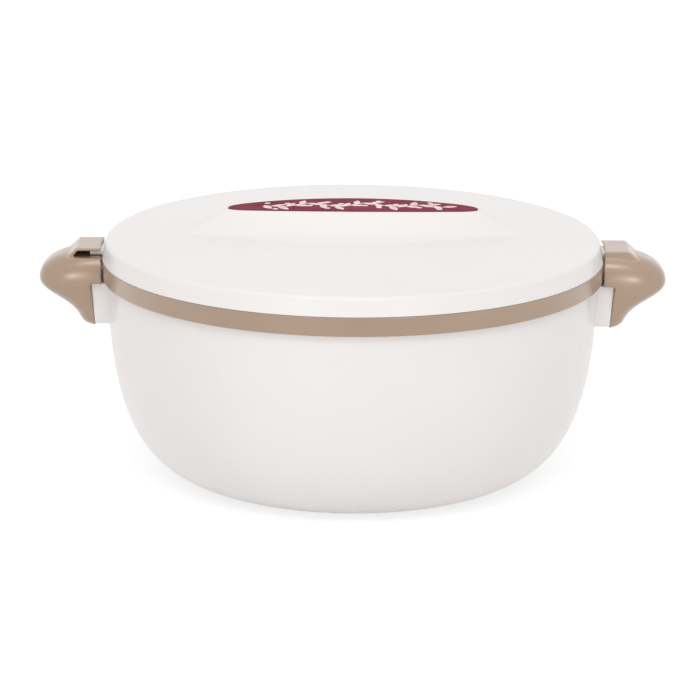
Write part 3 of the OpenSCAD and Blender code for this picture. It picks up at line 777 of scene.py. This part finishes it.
# %% [markdown]
# ## Lid
# The lid is a shallow dome with a grip ridge: two long faces that lean together and flare out at
# the foot, and two long, soft sloping ends, under an arched crest that holds the label. A flat
# grid would cut across those edges, so the lid is lofted through rings that follow its own
# contours: from the hole under the label out over the rim, down the flank, across the dome to
# the crease and skirt, and back inside.

# %% The ridge's contours
RING = 512
step = np.arange(RING) * 2 * pi / RING
phi = step - 0.3 * np.sin(2 * step)  # closer together towards the ridge's two tips
COS, SIN = np.cos(phi), np.sin(phi)
LEAN, END_LEAN = radians(45), radians(62)
LEAN_S, LEAN_C = sin(LEAN), cos(LEAN)
CREST_W, CREST_L, RIDGE_H = 18.75, 80.0, 11.5  # half width, half length and height
FLARE, FLARE_CURVE = 6.0, 2.2  # how far the foot flares out, and how late
END_BLEND, TIP_BLEND = 3.0, 12.0  # softness of the ridge's corners, and of the label's tips
TIP = 68.5  # half length of the crest's arch, which drops by 2 mm to its tips
ARCH_R = TIP ** 2 / 4
LABEL_L, LABEL_W, LABEL_END = 83.5, 16.25, 67.0  # half sizes of its lens, and where it is blunted
face_w = CREST_W * LEAN_C
FACE_R = (CREST_L ** 2 + face_w ** 2) / (2 * face_w)
FACE_DROP = (RIDGE_H + FLARE * LEAN_S) / LEAN_C


def dome(r):
    """Height of the dome's outer face at radius r."""
    return DOME_Z - (DOME_Z - CREASE_Z) * (r / CREASE_R) ** 2


def arch(x):
    """Height of the arched crest line."""
    return CREST_Z - x ** 2 / (2 * ARCH_R)


def spokes(r, z):
    """A ring with a radius and a height on each spoke, or the same all round."""
    return np.stack([r * COS, r * SIN, np.broadcast_to(z, RING)], 1)


def face_half_width(x, depth, inset=0.0):
    """Half width of the ridge at x, at a depth below the middle of its crest."""
    drop = np.zeros_like(x)
    for _ in range(14):
        flare = FLARE * np.clip(drop / FACE_DROP, 0, 1) ** FLARE_CURVE
        dip = np.sqrt((FACE_R + flare - inset) ** 2 - x ** 2) - FACE_R
        drop = (depth + LEAN_S * dip) / LEAN_C
    return CREST_W + drop * LEAN_S + LEAN_C * dip


def smooth_min(a, b, blend):
    """The smaller of two values, rounded where they cross."""
    part = np.clip(0.5 + 0.5 * (b - a) / blend, 0, 1)
    return b * (1 - part) + a * part - blend * part * (1 - part)


def height_at(r, share):
    """Height at a share of the way from the dome up to the crest's arch."""
    return dome(r) + share * (arch(r * COS) - dome(r))


def outermost(is_inside):
    """The largest radius on each spoke that a test still calls inside."""
    low, high = np.full(RING, 3.0), np.full(RING, 118.0)
    for _ in range(44):
        r = (low + high) / 2
        inside = is_inside(r)
        low, high = np.where(inside, r, low), np.where(inside, high, r)
    return low


def ridge_ring(share, inset=0.0):
    """The ridge's contour at a share of its height: long faces, then soft sloping ends."""
    sides = outermost(lambda r: face_half_width(r * COS, CREST_Z - height_at(r, share), inset)
                      > r * np.abs(SIN))
    ends = outermost(lambda r: r < TIP + (arch(TIP) - height_at(r, share)) * tan(END_LEAN)
                     - inset / cos(END_LEAN))
    r = smooth_min(sides, ends, END_BLEND)
    return spokes(r, height_at(r, share) - inset)


def label_ring(grow, drop):
    """The label's outline, grown sideways, at a depth below the crest's arch."""
    big = (LABEL_L ** 2 + LABEL_W ** 2) / (2 * LABEL_W)
    c = big - LABEL_W
    r = -c * np.abs(SIN) + np.sqrt((c * SIN) ** 2 + (big + grow) ** 2 - c ** 2)
    r = smooth_min(r, LABEL_END + grow, TIP_BLEND)
    return spokes(r, arch(r * COS) - drop)


crest = ridge_ring(1.0)
foot = ridge_ring(0.0)
for name, ring in (("crest", crest), ("foot", foot)):
    print(name, "%.1f x %.1f mm" % (*(2 * ring.max(0)[:2]),))

# %% Helpers for rings: between two, round a corner, pushed out, and laid on the dome or the arch


def between(a, b, shares):
    """Rings on the straight way between two rings."""
    return [a * (1 - t) + b * t for t in shares]


def rounded(a, corner, b, steps):
    """Rings on a smooth curve that leaves a and reaches b, bent at the corner ring."""
    return [(1 - t) ** 2 * a + 2 * t * (1 - t) * corner + t * t * b
            for t in np.linspace(0, 1, steps + 1)]


def radii(ring):
    """How far each point of a ring is from the axis."""
    return np.hypot(ring[:, 0], ring[:, 1])


def moved_out(ring, by):
    """A ring pushed away from the axis, at its own height."""
    r = radii(ring)
    return ring * np.stack([(r + by) / r, (r + by) / r, np.ones(RING)], 1)


def on_dome(ring):
    """A ring laid on the dome."""
    return np.stack([ring[:, 0], ring[:, 1], dome(radii(ring))], 1)


def on_arch(ring, up=0.0):
    """A ring laid on the crest's arch, or at a height above it."""
    return np.stack([ring[:, 0], ring[:, 1], arch(ring[:, 0]) + up], 1)


print("ring helpers ready")

# %% Rings of the lid: recess, rim, flank and the fillet at its foot
HOLE_R, RECESS_DEPTH, RECESS_FIT = 5.0, 1.0, 0.15
FOOT_FILLET = 5.0
hole_top = spokes(HOLE_R, arch(HOLE_R * COS) - RECESS_DEPTH)
floor_edge, wall_top = label_ring(RECESS_FIT, RECESS_DEPTH), label_ring(RECESS_FIT, 0.0)
rim_in = on_arch(moved_out(wall_top, 0.35))
rim_out = on_arch(moved_out(crest, np.maximum(-1.5, radii(rim_in) + 0.3 - radii(crest))))
rings = [hole_top] + between(hole_top, floor_edge, (0.3, 0.6, 0.85, 0.97))
rings += [floor_edge] + between(floor_edge, wall_top, (0.1, 0.6))
rings += rounded(wall_top - [0, 0, 0.25], wall_top, rim_in, 3)
rings += between(rim_in, rim_out, (0.12, 0.5, 0.88))
rings += rounded(rim_out, crest, ridge_ring(0.82), 8)
rings += [ridge_ring(s) for s in (0.8, 0.74, 0.67, 0.6, 0.53, 0.46, 0.4, 0.34, 0.29)]
foot_out = on_dome(moved_out(foot, FOOT_FILLET))
rings += rounded(ridge_ring(0.25), foot, foot_out, 12)
print("rings to the ridge's foot", len(rings))

# %% Rings of the lid: dome, crease, skirt and the inside
BEND_R = 2.5  # radius of the crease between dome and skirt
SEAT_Z, SEAT_TOP, SEAT_IN = 120.7, 122.7, 129.1  # step that the steel plate bears on
UNDER_R = 126.5  # where the inside of the dome begins
skirt = atan2(COLLAR_R - CREASE_R, CREASE_Z - LID_Z)
slope = atan(2 * (DOME_Z - CREASE_Z) / CREASE_R)
side_way = np.array([cos(skirt), sin(skirt)])
top_way = np.array([sin(slope), cos(slope)])
bend = np.array([CREASE_R, CREASE_Z]) - BEND_R * (side_way + top_way) / (1 + side_way @ top_way)
dome_edge = spokes(*(bend + BEND_R * top_way))
rings += [on_dome(r) for r in between(foot_out, dome_edge, np.linspace(0.02, 0.985, 26))]
for t in np.linspace(pi / 2 - slope, skirt, 9):
    rings.append(spokes(*(bend + BEND_R * np.array([cos(t), sin(t)]))))
skirt_line = soften([(*(bend + BEND_R * side_way), 0), (COLLAR_R, LID_Z, 0.3),
                     (COLLAR_R - WALL, LID_Z, 0.4), (131.87, SEAT_Z, 0), (SEAT_IN, SEAT_Z, 0),
                     (SEAT_IN, SEAT_TOP, 0), (129.0, 124.4, 0)], steps=4)[1:]
rings += between(rings[-1], spokes(*skirt_line[0]), (0.04, 0.3, 0.6, 0.9))
rings += [spokes(*p) for p in skirt_line]
under_edge = spokes(UNDER_R, dome(UNDER_R) - WALL)
inside = between(under_edge, ridge_ring(0.0, WALL), (0.35, 0.7))
rings += [under_edge] + [on_dome(r) - [0, 0, WALL] for r in inside]
rings += [ridge_ring(s, WALL) for s in (0.0, 0.2, 0.45, 0.7, 0.9, 1.0)]
rings.append(spokes(HOLE_R, arch(HOLE_R * COS) - WALL))
print("lid rings", len(rings))

# %% Skin the lid and join its two lugs
LUG_IN, LUG_OUT, LUG_Z, LUG_TOP, LUG_W = 131.0, 141.5, 119.1, 121.8, 9
LUG_STEPS, LUG_ROUND = 12, 0.45
lid = place_object("lid_skin", loft("lid_skin", rings, loop=True))
lid.data.materials.append(white_plastic)


def lug_mesh():
    """The right-hand lug: a thick tab that follows the lid's edge, with softened edges."""
    half = asin(LUG_W / LUG_OUT)
    work = bmesh.new()
    rows = [[work.verts.new((r * MM * cos(a), r * MM * sin(a), z * MM))
             for a in np.linspace(-half, half, LUG_STEPS + 1)]
            for r, z in ((LUG_IN, LUG_Z), (LUG_OUT, LUG_Z), (LUG_OUT, LUG_TOP), (LUG_IN, LUG_TOP))]
    for k, lower in enumerate(rows):
        upper = rows[(k + 1) % 4]
        for i in range(LUG_STEPS):
            work.faces.new((lower[i], lower[i + 1], upper[i + 1], upper[i]))
    for i in (0, LUG_STEPS):
        work.faces.new([row[i] for row in rows])
    bmesh.ops.recalc_face_normals(work, faces=work.faces)
    round_edges(work, [e for e in work.edges if e.calc_face_angle(0) > 0.7], LUG_ROUND)
    return from_work("lug", work)


combine(lid, lug_mesh(), "UNION", both_ends=True)
print("lid", tidy(lid.data, 34))
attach(lid, "lid")
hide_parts("lid_cover")

# %% [markdown]
# ## Label and its print
# The label is a thin maroon insert with a soft sheen, which follows the crest's arch and fills its
# recess. Its print is a plain leafy vine with berries in cream ink. Leaves and berries repeat along
# a wave, so a Geometry Nodes tree sets them, bends all of it onto the arch and gives it the ink.

# %% The label plate
LABEL_ROUND, LABEL_T = 0.35, 0.9  # radius of its upper edge, and thickness in the recess
label_rings = [on_arch(label_ring(-LABEL_ROUND, 0) * [s, s, 1], PROUD)
               for s in (0.02, 0.2, 0.4, 0.6, 0.8, 0.93, 0.985)]
label_rings += rounded(label_ring(-LABEL_ROUND, -PROUD), label_ring(0, -PROUD),
                       label_ring(0, 0.15), 4)
label_rings += [label_ring(0, 0.8), label_ring(-0.2, LABEL_T)]
label_rings += [on_arch(label_ring(-0.2, 0) * [s, s, 1], -LABEL_T) for s in (0.6, 0.02)]
label = place_object("label_skin", loft("label_skin", label_rings))
label.data.materials.append(label_maroon)
print("label", tidy(label.data, 40))
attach(label, "lid")
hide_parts("label_plate")

# %% Small shapes that the print repeats
LEAF_L, LEAF_W, BERRY_R = 9.0, 2.2, 1.6


def flat_shape(name, outline):
    """A thin flat shape of ink."""
    count = len(outline)
    points = [(x * MM, y * MM, z * MM) for z in (0, INK) for x, y in outline]
    faces = [tuple(range(count - 1, -1, -1)), tuple(range(count, 2 * count))]
    faces += [(i, (i + 1) % count, count + (i + 1) % count, count + i) for i in range(count)]
    print(name, len(points), "points")
    return place_object(name, raw_mesh(name, points, [], faces))


half_leaf = [(t * LEAF_L, LEAF_W * sin(pi * t) ** 0.8 * (1 - 0.25 * t))
             for t in np.linspace(0, 1, 11)]
leaf = flat_shape("leaf", half_leaf + [(x, -y) for x, y in half_leaf[-2:0:-1]])
berry = flat_shape("berry", [(BERRY_R * cos(a), BERRY_R * sin(a))
                             for a in np.linspace(0, 2 * pi, 15)[:-1]])

# %% The tree that prints the vine: stem and leaves
vine, given, end, vine_keys = new_tree(
    "vine_print",
    (("Leaf", "Object"), ("Berry", "Object"), ("Leaves", "Int", 26), ("Leaf Turn", "Float", 0.75),
     ("Stem Width", "Float", 0.0011), ("Berry Reach", "Float", 0.0058), ("Seed", "Int", 4),
     ("Size Spread", "Float", 0.12), ("Arch Radius", "Float", ARCH_R * MM),
     ("Level", "Float", (CREST_Z + PROUD) * MM), ("Ink", "Material")))
stem_line = add(vine, "GeometryNodeMeshToCurve", {"Mesh": given["Geometry"]})
flat_bar = add(vine, "GeometryNodeCurvePrimitiveQuadrilateral",
               {"Width": given["Stem Width"], "Height": 2 * INK * MM})
stem = add(vine, "GeometryNodeCurveToMesh",
           {"Curve": stem_line, "Profile Curve": flat_bar, "Fill Caps": True})
spots = add(vine, "GeometryNodeCurveToPoints", {"Curve": stem_line, "Count": given["Leaves"]},
            mode="COUNT").outputs
parity = maths(vine, "MODULO", add(vine, "GeometryNodeInputIndex"), 2)
side_sign = maths(vine, "SUBTRACT", maths(vine, "MULTIPLY", parity, 2.0), 1.0)
along = add(vine, "ShaderNodeSeparateXYZ", {0: spots["Tangent"]}).outputs
heading = maths(vine, "ARCTAN2", along[1], along[0])
leaf_angle = maths(vine, "ADD", heading, maths(vine, "MULTIPLY", side_sign, given["Leaf Turn"]))
spin = add(vine, "ShaderNodeCombineXYZ", {2: leaf_angle})
chance = add(vine, "FunctionNodeRandomValue", {"Seed": given["Seed"]}, data_type="FLOAT").outputs[1]
size = maths(vine, "ADD", 1.0, maths(vine, "MULTIPLY", given["Size Spread"],
                                     maths(vine, "SUBTRACT", chance, 0.5)))
leaf_shape = add(vine, "GeometryNodeObjectInfo", {0: given["Leaf"]}).outputs["Geometry"]
leaves = add(vine, "GeometryNodeInstanceOnPoints",
             {"Points": spots["Points"], "Instance": leaf_shape, "Rotation": spin, "Scale": size})
print("vine: stem and leaves set")

# %% Berries between the leaves, on the other side each time
few = maths(vine, "ADD", maths(vine, "MULTIPLY", given["Leaves"], 0.5), 1.0)
gaps = add(vine, "GeometryNodeCurveToPoints", {"Curve": stem_line, "Count": few},
           mode="COUNT").outputs
reach = maths(vine, "MULTIPLY", side_sign, given["Berry Reach"])
flat_normal = add(vine, "ShaderNodeVectorMath", {0: gaps["Normal"], 1: (1.0, 1.0, 0.0)},
                  operation="MULTIPLY")
shift = add(vine, "ShaderNodeVectorMath", {0: flat_normal, "Scale": reach}, operation="SCALE")
moved = add(vine, "GeometryNodeSetPosition", {"Geometry": gaps["Points"], "Offset": shift})
berry_shape = add(vine, "GeometryNodeObjectInfo", {0: given["Berry"]}).outputs["Geometry"]
berries = add(vine, "GeometryNodeInstanceOnPoints", {"Points": moved, "Instance": berry_shape})
print("vine: berries set")

# %% Bend the whole print onto the arch and ink it
together = add(vine, "GeometryNodeJoinGeometry")
for made in (stem, leaves, berries):
    vine.links.new(made.outputs[0], together.inputs[0])
loose = add(vine, "GeometryNodeRealizeInstances", {0: together})
x = add(vine, "ShaderNodeSeparateXYZ", {0: add(vine, "GeometryNodeInputPosition")})
dip = maths(vine, "DIVIDE", maths(vine, "MULTIPLY", x, x),
            maths(vine, "MULTIPLY", given["Arch Radius"], -2.0))
rise = add(vine, "ShaderNodeCombineXYZ", {2: maths(vine, "ADD", dip, given["Level"])})
laid = add(vine, "GeometryNodeSetPosition", {"Geometry": loose, "Offset": rise})
final = add(vine, "GeometryNodeRealizeInstances", {0: laid})
feed(vine, end, {0: add(vine, "GeometryNodeSetMaterial", {0: final, "Material": given["Ink"]})})
print("vine: bent and inked")

# %% Print the vine on the label
WAVE_H, WAVE_L, WAVE_END, TAPER = 4.6, 31, 48, 62  # swing, wavelength, end, where it dies out
wave = [(x * MM, WAVE_H * sin(x * 2 * pi / WAVE_L) * (1 - (x / TAPER) ** 2) * MM, 0)
        for x in np.linspace(-WAVE_END, WAVE_END, 161)]
wave_mesh = raw_mesh("label_print", wave, [(i, i + 1) for i in range(len(wave) - 1)], [])
label_print = place_object("label_print", wave_mesh)
printer = label_print.modifiers.new("print", "NODES")
printer.node_group = vine
for label_name, value in (("Leaf", leaf), ("Berry", berry), ("Ink", print_cream)):
    printer[vine_keys[label_name]] = value
bake(label_print)
for pattern in (leaf, berry):
    bpy.data.objects.remove(pattern)
print("print", tidy(label_print.data, 30))
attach(label_print, "lid")

# %% [markdown]
# ## Pieces that stay as the frame's own solids
# Foam, plugs and screws are hidden or plain, and their solids are right as they are. They keep
# their meshes and only get a finish.

# %% Finishes for the frame's solids
kept_solids = {"base_plug": white_plastic, "body_foam": foam, "left_handle_screws": zinc,
               "right_handle_screws": zinc, "lid_fill_plug": white_plastic, "lid_foam": foam}
for name, finish in kept_solids.items():
    nodes[name].data.materials.clear()
    nodes[name].data.materials.append(finish)
print("kept:", ", ".join(kept_solids))
